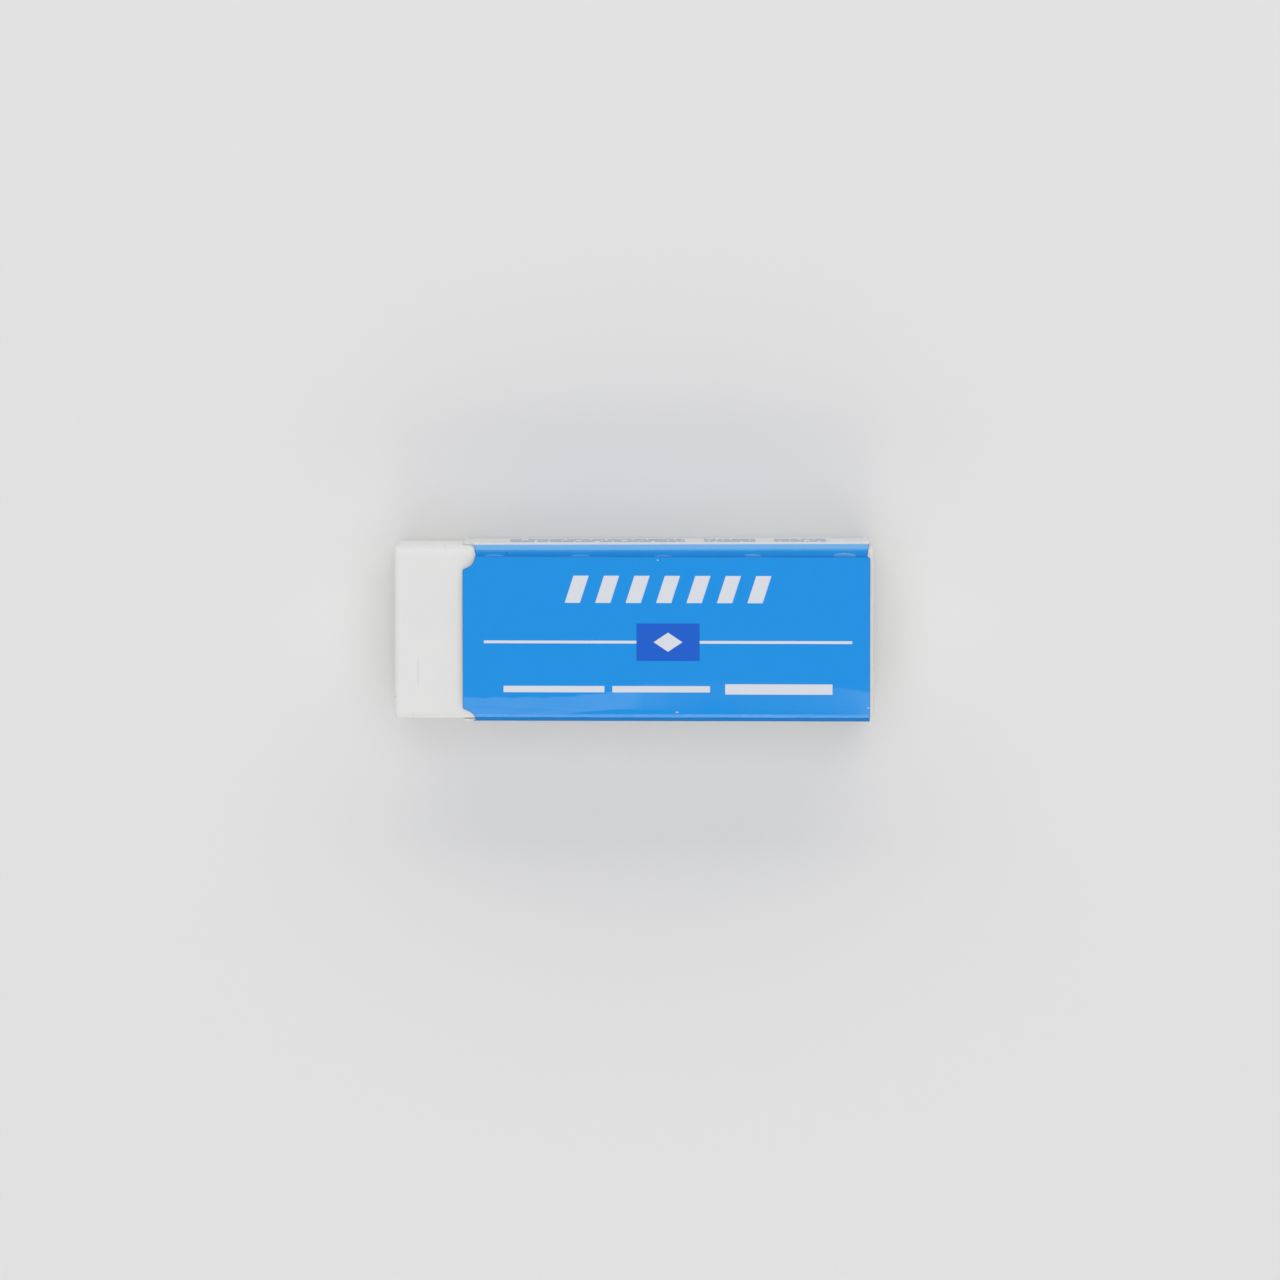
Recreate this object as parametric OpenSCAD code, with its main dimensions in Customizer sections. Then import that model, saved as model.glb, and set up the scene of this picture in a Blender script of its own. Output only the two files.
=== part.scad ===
// A block eraser in its folded card sleeve.
// X runs along the block, with the bare end at -X. The card's seam lies towards +Y.
// Z is up from the sleeve's underside, and the origin is under the middle of the block.

/* [Rubber block] */
// Length of the block
eraser_l = 60; // [56:0.5:80]
// Width of the block
eraser_w = 21.7; // [18:0.1:30]
// Height of the block
eraser_h = 12; // [11:0.1:16]
// Rounding of the edges that run along the block and across its ends
edge_r = 0.7; // [0.5:0.05:0.8]
// Rounding of the four upright corners
corner_r = 0.5; // [0.3:0.05:1.2]

/* [Card sleeve] */
// Thickness of the card
card_t = 0.3; // [0.2:0.02:0.4]
// Length of the sleeve
sleeve_l = 50.9; // [48:0.1:56]
// Length of rubber left bare at the notched end of the sleeve
bare_l = 8.6; // [2:0.1:12]
// Gap between the rubber and the card on each side
fit_gap = 0.05; // [0.02:0.01:0.1]
// Distance of the top panel's free edge from the far wall's outer face
seam_inset = 1.7; // [1.5:0.1:2.4]
// Rounding of the top panel's corner at the end without notches
panel_corner_r = 0.3; // [0.1:0.05:0.8]

/* [Glue flap] */
// Distance of the flap's hidden edge from the near wall's outer face
flap_short = 3; // [2:0.1:7]
// Distance of the flap from the sleeve's notched end, at the fold
flap_setback = 1.35; // [1:0.05:1.5]
// Distance of the flap from the sleeve's other end, at the fold
flap_end_setback = 0.15; // [0.05:0.05:1]
// Slope of the flap's two ends in degrees
flap_taper = 9; // [3:1:15]
// Distance of the top panel's bend from the flap's hidden edge
bend_gap = 0.15; // [0.1:0.05:0.4]

/* [Notches] */
// Radius of the round notches at the folds
notch_r = 1.55; // [1.4:0.05:2]
// Radius of the corner between a notch and the sleeve's end
notch_fillet = 0.35; // [0.1:0.05:0.4]

/* [Glue] */
// Number of glue dots under the seam
glue_count = 5; // [3:1:7]
// Radius of a pressed glue dot
glue_r = 1.5; // [1:0.1:1.9]
// Thickness of the pressed glue
glue_t = 0.05; // [0.03:0.01:0.08]
// Width of glue pressed out past the seam
glue_bulge = 0.2; // [0.1:0.05:0.4]
// Distance of the first dot from the sleeve's notched end
glue_first = 4; // [3.6:0.1:5]
// Distance of the last dot from the sleeve's other end
glue_last = 3.1; // [2.6:0.1:5]

/* [Print] */
// Thickness of the ink layer
ink_t = 0.02; // [0.01:0.005:0.05]
// Shift of the print along the sleeve from the sleeve's middle
print_shift = 0.2; // [-0.5:0.05:0.5]
// Angle of the near folds that the blue ink wraps, in degrees
near_wrap = 70; // [30:5:75]
// Angle of the far folds that the blue ink wraps, in degrees
far_wrap = 50; // [30:5:75]
// Width of blue ink that goes on under the top panel
ink_bleed = 1; // [0.5:0.1:2]
// Length of the white rule
rule_l = 46; // [36:0.5:47]
// Thickness of the white rule
rule_t = 0.35; // [0.2:0.05:0.6]
// Place of the rule and the badge across the sleeve
rule_y = -1.2; // [-2:0.1:0]
// Length of the dark badge
badge_l = 7.9; // [5:0.1:10]
// Height of the dark badge
badge_h = 4.7; // [3:0.1:5.5]
// Length of the lozenge left white in the badge
lozenge_l = 3.6; // [1:0.1:4.5]
// Height of the lozenge left white in the badge
lozenge_h = 2.4; // [1:0.1:2.8]
// Number of slanted bars in the row above the rule
slant_count = 7; // [3:1:7]
// Distance from one slanted bar to the next
slant_pitch = 3.8; // [3:0.1:4.5]
// Width of a slanted bar
slant_w = 1.9; // [1:0.1:2.5]
// Height of a slanted bar
slant_h = 3.4; // [2:0.1:4]
// Lean of a slanted bar over its height
slant_lean = 1.1; // [0:0.1:1.5]
// Place of the slanted bars across the sleeve
slant_y = 5.4; // [4:0.1:6]
// Height of the two thin bars below the rule
caption_thin = 0.8; // [0.4:0.1:1.2]
// Height of the bold bar below the rule
caption_bold = 1.3; // [0.6:0.1:1.6]
// Place of the bars below the rule across the sleeve
caption_y = -7.1; // [-7.4:0.1:-5.5]
// Lengths of the bars below the rule
caption_l = [12.6, 12.2, 13.4]; // [6:0.1:14]
// Gaps between the bars below the rule
caption_gap = [1, 1.9]; // [0.5:0.1:2]

/* [Side print] */
// Height of the thin rule on the far wall above the sleeve's underside
side_rule_z = 1.7; // [1.2:0.1:2.2]
// Thickness of the rule on the far wall
side_rule_t = 0.25; // [0.15:0.05:0.5]
// Distance of that rule from the sleeve's two ends
side_margin = 0.5; // [0.4:0.1:1.5]
// Distance of the gap in that rule from the sleeve's middle
side_gap_x = 13.2; // [8:0.1:14]
// Width of the gap in that rule
side_gap_w = 15.6; // [4:0.1:18]
// Number of rows of bars on the far wall
side_rows = 3; // [1:1:3]
// Distance from one row to the next
side_row_pitch = 2.5; // [1.8:0.1:2.6]
// Height of a bar
side_bar_h = 1.3; // [0.6:0.1:1.5]
// Distance of the rows' middle below the flap
side_bar_drop = 4.8; // [4.6:0.1:5.2]
// Lengths of the bars on the far wall
side_bar_l = [22, 6.4, 6.5]; // [3:0.1:24]
// Gap between those bars
side_bar_gap = 2.4; // [1:0.1:3]

/* [Hidden] */
$fn = 64;
// How far a cutting tool runs past what it cuts
over = 1;
// Heights from the sleeve's underside up to the top panel
block_z = card_t + fit_gap;
flap_z = block_z + eraser_h + fit_gap;
fold_z = flap_z + card_t;
panel_z = fold_z + glue_t;
top_z = panel_z + card_t;
// Half the sleeve's width, and where its folds begin
half_w = eraser_w / 2 + fit_gap + card_t;
fold_out = edge_r + fit_gap + card_t;
flat_y = half_w - fold_out;
// Ends of the sleeve and the middle of its print
sleeve_x = bare_l - eraser_l / 2;
sleeve_end = sleeve_x + sleeve_l;
print_x = sleeve_x + sleeve_l / 2 + print_shift;
// Edges of the top panel and of the flap
seam_y = half_w - seam_inset;
flap_y = flap_short - half_w;
bend_y = flap_y - bend_gap;

// A rectangle about the origin with round corners
module round_rect(size, r) {
    difference() {
        square(size, center = true);
        for (i = [0:3])
            translate([(i % 3 == 0 ? 1 : -1) * (size[0] / 2 - r), (i < 2 ? 1 : -1) * (size[1] / 2 - r)])
                rotate(90 * i)
                    difference() {
                        square(r + over);
                        circle(r);
                    }
    }
}

// Carries an outline of Y and Z along X, from the sleeve's notched end
module along_sleeve() {
    translate([sleeve_x, 0, 0]) rotate([90, 0, 90]) linear_extrude(sleeve_l) children();
}

// A strip of one thickness that follows a list of points, each the strip's upper side
module strip(points, t) {
    under = [for (i = [len(points) - 1:-1:0]) points[i] - [0, t]];
    polygon(concat(points, under));
}

// The part of a fold's ring of thickness t that starts at angle a and spans an angle under 180
module fold_arc(y, z, t, a, span) {
    reach = 4 * fold_out;
    translate([y, z])
        intersection() {
            difference() {
                circle(fold_out);
                circle(fold_out - t);
            }
            polygon([
                [0, 0],
                reach * [cos(a), sin(a)],
                reach * [cos(a + span / 2), sin(a + span / 2)],
                reach * [cos(a + span), sin(a + span)]
            ]);
        }
}

// Top panel's upper side, from the near fold up onto the flap and on to the seam
panel_line = [[-flat_y, fold_z], [bend_y, top_z], [seam_y, top_z]];

// Section of the card without the flap
module wrap_section() {
    strip(panel_line, card_t);
    fold_arc(-flat_y, fold_z - fold_out, card_t, 90, 90);
    translate([-half_w, fold_out]) square([card_t, fold_z - 2 * fold_out]);
    fold_arc(-flat_y, fold_out, card_t, 180, 90);
    translate([-flat_y, 0]) square([2 * flat_y, card_t]);
    fold_arc(flat_y, fold_out, card_t, 270, 90);
    translate([half_w - card_t, fold_out]) square([card_t, fold_z - 2 * fold_out]);
    fold_arc(flat_y, fold_z - fold_out, card_t, 0, 90);
}

// Outline of the flap seen from above, with its sloping ends
module flap_outline() {
    slope = tan(flap_taper);
    width = flat_y - flap_y;
    a = sleeve_x + flap_setback;
    b = sleeve_end - flap_end_setback;
    polygon([
        [a, flat_y],
        [a + slope * width, flap_y],
        [b - slope * width, flap_y],
        [b, flat_y]
    ]);
}

// Corner cut of the card seen flat: a round notch with a small fillet towards the end edge.
// The notch centre is at the origin and the card's end edge lies along the second axis.
module notch_outline() {
    reach = sqrt(pow(notch_r + notch_fillet, 2) - pow(notch_fillet, 2));
    circle(notch_r);
    for (side = [-1, 1])
        difference() {
            polygon([[-over, 0], [0, 0], [notch_fillet, side * reach], [-over, side * reach]]);
            translate([notch_fillet, side * reach]) circle(notch_fillet);
        }
}

// A notch cut downwards through a panel that lies flat, from height z0 to z1
module flat_notch(y, z0, z1) {
    translate([sleeve_x, y, z0]) linear_extrude(z1 - z0) notch_outline();
}

// A notch cut across a side wall at height z, on the side given by 1 or -1
module wall_notch(side, z) {
    translate([sleeve_x, side > 0 ? half_w + over : -flat_y, z])
        rotate([90, 0, 0])
            linear_extrude(fold_out + over) notch_outline();
}

// Space round a fold, from its centre outwards, on the side given by 1 or -1.
// It lies above height z where up is 1 and below it where up is -1, and is reach long.
module fold_space(side, z, up, reach) {
    width = half_w - flat_y + over;
    translate([sleeve_x - over, side > 0 ? flat_y : -flat_y - width, up > 0 ? z : z - fold_out - over])
        cube([reach + over, width, fold_out + over]);
}

// A notch cut into the panel and the wall that meet at a fold. Round the fold it takes what both cuts share.
module fold_notch(side, up) {
    line_z = up > 0 ? fold_z : 0;
    centre_z = line_z - up * fold_out;
    low = up > 0 ? centre_z : -over;
    high = up > 0 ? top_z + over : centre_z;
    difference() {
        flat_notch(side * half_w, low, high);
        fold_space(side, centre_z, up, half_w);
    }
    difference() {
        wall_notch(side, line_z);
        fold_space(side, centre_z, up, half_w);
    }
    intersection() {
        flat_notch(side * half_w, low, high);
        wall_notch(side, line_z);
    }
}

// The notch in the far wall, which ends at the flap's own end
module flap_notch() {
    centre_z = fold_z - fold_out;
    difference() {
        wall_notch(1, fold_z);
        fold_space(1, centre_z, 1, half_w);
    }
    intersection() {
        wall_notch(1, fold_z);
        fold_space(1, centre_z, 1, flap_setback);
    }
}

// What is cut away where the top panel's corner is rounded
module panel_corner() {
    r = panel_corner_r;
    translate([sleeve_end - r, seam_y - r, fold_z + glue_t / 2])
        difference() {
            cube([r + over, r + over, card_t + over]);
            translate([0, 0, -over]) cylinder(h = card_t + 3 * over, r = r);
        }
}

// All that is cut from the folded card: its notches and the rounded corner
module card_cuts() {
    flat_notch(seam_y, fold_z + glue_t / 2, top_z + over);
    fold_notch(-1, 1);
    fold_notch(-1, -1);
    fold_notch(1, -1);
    flap_notch();
    panel_corner();
}

// Section of the blue ink on the outer face, apart from the flap
module ink_section() {
    strip(panel_line, ink_t);
    fold_arc(-flat_y, fold_z - fold_out, ink_t, 90, near_wrap);
    fold_arc(-flat_y, fold_out, ink_t, 270 - near_wrap, near_wrap);
    translate([-flat_y, 0]) square([2 * flat_y, ink_t]);
    fold_arc(flat_y, fold_out, ink_t, 270, far_wrap);
    fold_arc(flat_y, fold_z - fold_out, ink_t, 90 - far_wrap, far_wrap);
}

// Row of slanted bars about the origin
module slanted_bars() {
    for (i = [0:slant_count - 1])
        translate([(i - (slant_count - 1) / 2) * slant_pitch, 0])
            polygon([
                [-slant_w / 2 - slant_lean / 2, -slant_h / 2],
                [slant_w / 2 - slant_lean / 2, -slant_h / 2],
                [slant_w / 2 + slant_lean / 2, slant_h / 2],
                [-slant_w / 2 + slant_lean / 2, slant_h / 2]
            ]);
}

// Row of bars of the given lengths, gaps and heights, centred on the origin
module bar_row(lengths, gaps, heights) {
    total = lengths[0] + lengths[1] + lengths[2] + gaps[0] + gaps[1];
    starts = [0, lengths[0] + gaps[0], lengths[0] + lengths[1] + gaps[0] + gaps[1]];
    for (i = [0:2])
        translate([starts[i] - total / 2, -heights[i] / 2]) square([lengths[i], heights[i]]);
}

// What the ink leaves white on the top panel
module white_marks() {
    translate([print_x, rule_y]) square([rule_l, rule_t], center = true);
    translate([print_x, slant_y]) slanted_bars();
    translate([print_x, caption_y])
        bar_row(caption_l, caption_gap, [caption_thin, caption_thin, caption_bold]);
}

// Outline of the badge
module badge_outline() {
    translate([print_x, rule_y]) square([badge_l, badge_h], center = true);
}

// Rule and bars on the far wall, as lengths along X and heights
module side_marks() {
    a = sleeve_x + side_margin;
    b = sleeve_end - side_margin;
    gap_x = sleeve_x + sleeve_l / 2 + side_gap_x;
    difference() {
        translate([a, side_rule_z]) square([b - a, side_rule_t]);
        translate([gap_x - side_gap_w / 2, 0]) square([side_gap_w, side_rule_z + over]);
    }
    for (i = [0:side_rows - 1])
        translate([print_x, fold_z - side_bar_drop + (i - (side_rows - 1) / 2) * side_row_pitch])
            bar_row(side_bar_l, [side_bar_gap, side_bar_gap], [side_bar_h, side_bar_h, side_bar_h]);
}

// The rubber block: outlines from above, from the side and from the end, all with round corners
module eraser_shape() {
    translate([0, 0, block_z + eraser_h / 2])
        intersection() {
            linear_extrude(eraser_h + over, center = true) round_rect([eraser_l, eraser_w], corner_r);
            rotate([90, 0, 0])
                linear_extrude(eraser_w + over, center = true) round_rect([eraser_l, eraser_h], edge_r);
            rotate([90, 0, 90])
                linear_extrude(eraser_l + over, center = true) round_rect([eraser_w, eraser_h], edge_r);
        }
}

module flap_shape(t) {
    translate([0, 0, fold_z - t]) linear_extrude(t) flap_outline();
}

module eraser_block() {
    color("whitesmoke") eraser_shape();
}

module card_sleeve() {
    color("white")
        difference() {
            union() {
                along_sleeve() wrap_section();
                flap_shape(card_t);
            }
            card_cuts();
            blue_shape();
            badge_shape();
            side_shape();
        }
}

module glue_dots() {
    pitch = (sleeve_l - glue_first - glue_last) / (glue_count - 1);
    color("lightskyblue")
        for (i = [0:glue_count - 1])
            translate([sleeve_x + glue_first + i * pitch, seam_y + glue_bulge - glue_r, fold_z])
                cylinder(h = glue_t, r = glue_r);
}

module blue_shape() {
    difference() {
        union() {
            along_sleeve() ink_section();
            intersection() {
                flap_shape(ink_t);
                translate([sleeve_x, seam_y - ink_bleed, 0]) cube([sleeve_l, half_w, top_z]);
            }
        }
        card_cuts();
        translate([0, 0, panel_z])
            linear_extrude(card_t + over) {
                white_marks();
                badge_outline();
            }
    }
}

module badge_shape() {
    a = lozenge_l / 2;
    b = lozenge_h / 2;
    translate([0, 0, top_z - ink_t])
        linear_extrude(ink_t)
            difference() {
                badge_outline();
                translate([print_x, rule_y]) polygon([[-a, 0], [0, -b], [a, 0], [0, b]]);
            }
}

module side_shape() {
    translate([0, half_w, 0]) rotate([90, 0, 0]) linear_extrude(ink_t) side_marks();
}

module blue_print() {
    color("dodgerblue") blue_shape();
}

module badge_print() {
    color("royalblue") badge_shape();
}

module side_print() {
    color("slateblue") side_shape();
}

eraser_block();
card_sleeve();
glue_dots();
blue_print();
badge_print();
side_print();
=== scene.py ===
# A block eraser in its folded card sleeve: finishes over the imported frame
import math

import bpy
import bmesh
import numpy as np
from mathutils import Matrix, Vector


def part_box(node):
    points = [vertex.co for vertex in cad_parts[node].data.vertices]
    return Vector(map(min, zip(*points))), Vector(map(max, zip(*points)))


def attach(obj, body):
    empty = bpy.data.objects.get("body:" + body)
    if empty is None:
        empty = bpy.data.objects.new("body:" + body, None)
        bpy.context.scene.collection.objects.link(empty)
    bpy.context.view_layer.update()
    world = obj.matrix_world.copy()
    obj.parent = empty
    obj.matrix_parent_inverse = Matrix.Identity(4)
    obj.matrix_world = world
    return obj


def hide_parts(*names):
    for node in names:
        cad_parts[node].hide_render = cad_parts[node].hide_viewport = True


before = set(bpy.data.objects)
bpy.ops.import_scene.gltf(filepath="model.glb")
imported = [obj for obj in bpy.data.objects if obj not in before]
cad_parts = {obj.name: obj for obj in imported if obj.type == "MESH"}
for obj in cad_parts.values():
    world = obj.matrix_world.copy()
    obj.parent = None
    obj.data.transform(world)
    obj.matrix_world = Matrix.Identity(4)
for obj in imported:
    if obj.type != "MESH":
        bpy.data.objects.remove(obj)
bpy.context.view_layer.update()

mm = 0.001  # the dictionaries below are in millimetres and degrees
beyond = 99.0  # farther than any place on the part
scene = bpy.context.scene


def boxInMm(nodeName):
    low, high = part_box(nodeName)
    return np.array(low) / mm, np.array(high) / mm


def between(start, end, count):
    # evenly spaced points, without the two ends
    return np.linspace(start, end, count + 2)[1:-1]


def smooth(t):
    # 3t^2 - 2t^3 between 0 and 1, and level outside
    t = np.clip(t, 0, 1)
    return t * t * (3 - 2 * t)


def ramp(t, softness):
    # (sqrt(t^2 + s^2) - sqrt((t - 1)^2 + s^2) + 1) / 2: a line from 0 to 1 with softened corners
    return (np.hypot(t, softness) - np.hypot(t - 1, softness) + 1) / 2


def roundOff(distance, r):
    # r - sqrt(r^2 - (r - distance)^2): a quarter circle from r at the edge down to 0 at the distance r
    inside = np.clip(r - distance, 0, r)
    return r - np.sqrt(np.clip(r * r - inside ** 2, 0, None))


def ripple(x, y, waves):
    # sum of height * sin(2 pi (x cos a + y sin a) / length + start), one term for each wave
    total = np.zeros_like(x * y)
    for height, length, angle, start in waves:
        a = math.radians(angle)
        total += height * np.sin(2 * math.pi * (x * math.cos(a) + y * math.sin(a)) / length + start)
    return total


def gridQuads(rows, cols, first=0, wrapCols=False):
    # corners (i, j), (i, j+1), (i+1, j+1), (i+1, j) of every cell of a rows x cols grid
    i, j = np.meshgrid(np.arange(rows - 1), np.arange(cols if wrapCols else cols - 1), indexing="ij")
    nextJ = (j + 1) % cols
    quads = [i * cols + j, i * cols + nextJ, (i + 1) * cols + nextJ, (i + 1) * cols + j]
    return np.stack(quads, axis=-1).reshape(-1, 4) + first


def buildObject(name, points, quads, materials, slots=None):
    # mesh object from arrays of points in millimetres and of quads
    mesh = bpy.data.meshes.new(name)
    mesh.from_pydata((points * mm).tolist(), [], quads.tolist())
    for material in materials:
        mesh.materials.append(material)
    if slots is not None:
        mesh.polygons.foreach_set("material_index", slots.astype(np.int32))
    mesh.polygons.foreach_set("use_smooth", np.ones(len(quads), bool))
    obj = bpy.data.objects.new(name, mesh)
    scene.collection.objects.link(obj)
    return obj


def turnOutward(obj, mergeDistance=0.0):
    work = bmesh.new()
    work.from_mesh(obj.data)
    if mergeDistance:
        bmesh.ops.remove_doubles(work, verts=work.verts, dist=mergeDistance * mm)
    bmesh.ops.recalc_face_normals(work, faces=work.faces)
    work.to_mesh(obj.data)
    work.free()


class Wire:
    # one output of a node tree; arithmetic on it adds Math nodes
    def __init__(self, tree, socket=None):
        self.tree = tree
        self.socket = socket

    def node(self, kind, settings, inputs, output=0):
        made = self.tree.nodes.new("ShaderNode" + kind)
        for key, value in settings.items():
            setattr(made, key, value)
        for key, value in inputs.items():
            if isinstance(value, Wire):
                self.tree.links.new(value.socket, made.inputs[key])
            else:
                made.inputs[key].default_value = value
        return Wire(self.tree, made.outputs[output])

    def sum(self, operation, *values):
        return self.node("Math", {"operation": operation}, dict(enumerate(values)))

    def __add__(self, other):
        return self.sum("ADD", self, other)

    def __sub__(self, other):
        return self.sum("SUBTRACT", self, other)

    def __rsub__(self, other):
        return self.sum("SUBTRACT", other, self)

    def __mul__(self, other):
        return self.sum("MULTIPLY", self, other)

    def __truediv__(self, other):
        return self.sum("DIVIDE", self, other)

    __radd__ = __add__
    __rmul__ = __mul__

    def least(self, other):
        return self.sum("MINIMUM", self, other)

    def most(self, other):
        return self.sum("MAXIMUM", self, other)

    def clamp(self):
        return self.node("Clamp", {}, {0: self})

    def part(self, k):
        # one of the three parts of a vector
        return self.node("SeparateXYZ", {}, {0: self}, k)

    def colours(self, low, high):
        # this value mixes from colour low to colour high
        return self.node("Mix", {"data_type": "RGBA"}, {0: self, 6: low, 7: high}, 2)

    def shade(self, colour, share):
        # the colour multiplied by another one where this value is 1
        settings = {"data_type": "RGBA", "blend_type": "MULTIPLY"}
        return self.node("Mix", settings, {0: self, 6: colour, 7: share}, 2)

    def stretch(self, x, y, z):
        return self.node("Mapping", {}, {"Vector": self, "Scale": (x, y, z)})

    def noise(self, scale, detail=3.0, roughness=0.5):
        inputs = {"Vector": self, "Scale": scale, "Detail": detail, "Roughness": roughness}
        return self.node("TexNoise", {}, inputs)


def newMaterial(name, constants):
    material = bpy.data.materials.new(name)
    material.use_nodes = True
    surface = material.node_tree.nodes["Principled BSDF"]
    for key, value in constants.items():
        surface.inputs[key].default_value = value
    return material, surface, Wire(material.node_tree)


def plug(wire, socket):
    wire.tree.links.new(wire.socket, socket)


def objectPlace(wire):
    return wire.node("TexCoord", {}, {}, "Object")


def rgb(red, green, blue):
    return (red, green, blue, 1.0)


def band(x, low, high, soft):
    # 1 between low and high, with edges that are soft wide
    return ((x - low).least(high - x) / soft + 0.5).clamp()


def patch(x, y, centre, size, soft):
    # 1 inside a rectangle
    return band(x, centre[0] - size[0] / 2, centre[0] + size[0] / 2, soft) * band(
        y, centre[1] - size[1] / 2, centre[1] + size[1] / 2, soft)


# The rubber block
rubber = {
    "edge": 0.95,
    "endEdge": 0.7,
    "waves": [(0.02, 23.0, 8, 0.7), (0.012, 9.0, 55, 2.1), (0.008, 5.2, -38, 0.2), (0.005, 2.6, 71, 1.4)],
    "wavesFrom": 0.9,  # share of the half size from which the edges are uneven
    "rings": 148,  # between the two ends' round edges
    "endRings": 13,  # over each end face
    "turnSteps": 9,  # round each edge
    "sideSteps": (40, 24),
    "merge": 0.0005,  # points this near to each other become one
    "look": {
        "white": rgb(0.815, 0.815, 0.795),
        "shade": rgb(0.78, 0.78, 0.765),
        "clouds": (160.0, 4.0, 0.55),  # scale, detail and roughness of a noise
        "grain": (2600.0, 3.0, 0.6),
        "bump": {"Strength": 0.35, "Distance": 0.00006},
        # painted shade: the block's far face and far edge take a greyer colour than its top, standing in for
        # less light there
        "farFacePaintedShade": rgb(0.69, 0.695, 0.71),
        "farSideReach": (0.45, 0.5),  # how far in from the far face, and how soft
        "speck": rgb(0.22, 0.21, 0.20),
        "specks": [  # X, Y, depth below the top, and radius
            (-23.65, 10.75, 0.45, 0.16), (-29.9, -8.1, 0.34, 0.16),
            (-27.6, -10.35, 0.08, 0.14), (-29.9, -9.2, 0.34, 0.11),
        ],
        "scratch": (-27.0, -5.0, 0.09, 1.3),  # X, Y, half width and half length of a faint line
        "scratchDepth": 0.3,
        "scratchColour": rgb(0.71, 0.71, 0.695),
    },
}
rubberLow, rubberHigh = boxInMm("eraser_block")


def blockOutline(inset):
    # Y and Z of a rectangle moved in by inset: corners at half size - r, with arcs of radius r - inset
    half = (rubberHigh - rubberLow)[1:] / 2
    r = rubber["edge"]
    turns = np.linspace(0, math.pi / 2, rubber["turnSteps"])
    arcs = []
    for k, signs in enumerate([(1, 1), (-1, 1), (-1, -1), (1, -1)]):
        a = turns + k * math.pi / 2
        arcs.append(signs * (half - r) + (r - inset) * np.stack([np.cos(a), np.sin(a)], axis=-1))
    outline = []
    for k, arc in enumerate(arcs):
        t = between(0, 1, rubber["sideSteps"][k % 2])[:, None]
        outline += [arc, arc[-1] * (1 - t) + arcs[(k + 1) % 4][0] * t]
    return np.concatenate(outline) + [0, (rubberHigh[2] + rubberLow[2]) / 2]


def makeBlock(material):
    # the outline carried along X; at each end it draws in along a quarter circle, then closes to a point
    r = rubber["endEdge"]
    a = np.linspace(0, math.pi / 2, rubber["turnSteps"])
    full, smallest = blockOutline(0.0), blockOutline(r)
    centre = full.mean(axis=0)
    shares = np.linspace(0, 1, rubber["endRings"] + 1)[:-1]
    end = [centre + (smallest - centre) * share for share in shares]
    end += [blockOutline(inset) for inset in r - r * np.sin(a)]
    step = np.concatenate([np.zeros(len(shares)), r - r * np.cos(a)])
    yz = np.array(end + [full] * rubber["rings"] + end[::-1])
    x = np.concatenate([rubberLow[0] + step, between(rubberLow[0] + r, rubberHigh[0] - r, rubber["rings"]),
                        rubberHigh[0] - step[::-1]])
    x = np.broadcast_to(x[:, None], yz.shape[:2])
    points = np.concatenate([x[..., None], yz], axis=-1)
    # small unevenness, pointing inward only so that the block keeps its size
    fromMiddle = points - [0, 0, centre[1]]
    half = (rubberHigh - rubberLow) / 2
    uneven = ripple(points[..., 0], points[..., 1] + points[..., 2], rubber["waves"])
    uneven = (uneven - np.abs(uneven).max()) * 0.5
    near = smooth((np.abs(fromMiddle) / half - rubber["wavesFrom"]) / (1 - rubber["wavesFrom"]))
    points = points + np.sign(fromMiddle) * near * uneven[..., None]
    quads = gridQuads(*yz.shape[:2], wrapCols=True)
    obj = buildObject("rubberBlock", points.reshape(-1, 3), quads, [material])
    turnOutward(obj, rubber["merge"])
    return obj


def rubberMaterial():
    look = rubber["look"]
    material, surface, wire = newMaterial("rubberFinish", {
        "Roughness": 0.62, "Specular IOR Level": 0.35, "Subsurface Weight": 0.25,
        "Subsurface Radius": (0.0016, 0.0015, 0.0014), "Subsurface Scale": 1.0,
    })
    place = objectPlace(wire)
    placeX, placeY, placeZ = (place.part(k) / mm for k in range(3))
    clouds = place.noise(*look["clouds"])
    grain = place.noise(*look["grain"])
    base = (clouds * 1.4 - 0.2).clamp().colours(look["shade"], look["white"])
    # painted shade on the block's far face and far edge: a greyer colour mixed in towards the far side
    reach, soft = look["farSideReach"]
    base = band(placeY, rubberHigh[1] - reach, beyond, soft).colours(base, look["farFacePaintedShade"])
    x, y, halfWide, halfLong = look["scratch"]
    scratch = band(placeX, x - halfWide, x + halfWide, halfWide)
    scratch = scratch * band(placeY, y - halfLong, y + halfLong, halfLong)
    scratch = scratch * band(placeZ, rubberHigh[2] - look["scratchDepth"], beyond, 0.1)
    base = scratch.colours(base, look["scratchColour"])
    for x, y, below, radius in look["specks"]:
        centre = (x * mm, y * mm, (rubberHigh[2] - below) * mm)
        away = wire.node("VectorMath", {"operation": "DISTANCE"}, {0: place, 1: centre}, 1)
        base = ((1.0 - away / (radius * mm)) * 0.8).clamp().colours(base, look["speck"])
    plug(base, surface.inputs["Base Color"])
    bump = wire.node("Bump", {}, {**look["bump"], "Height": clouds * 0.6 + grain * 0.15})
    plug(bump, surface.inputs["Normal"])
    return material


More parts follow.
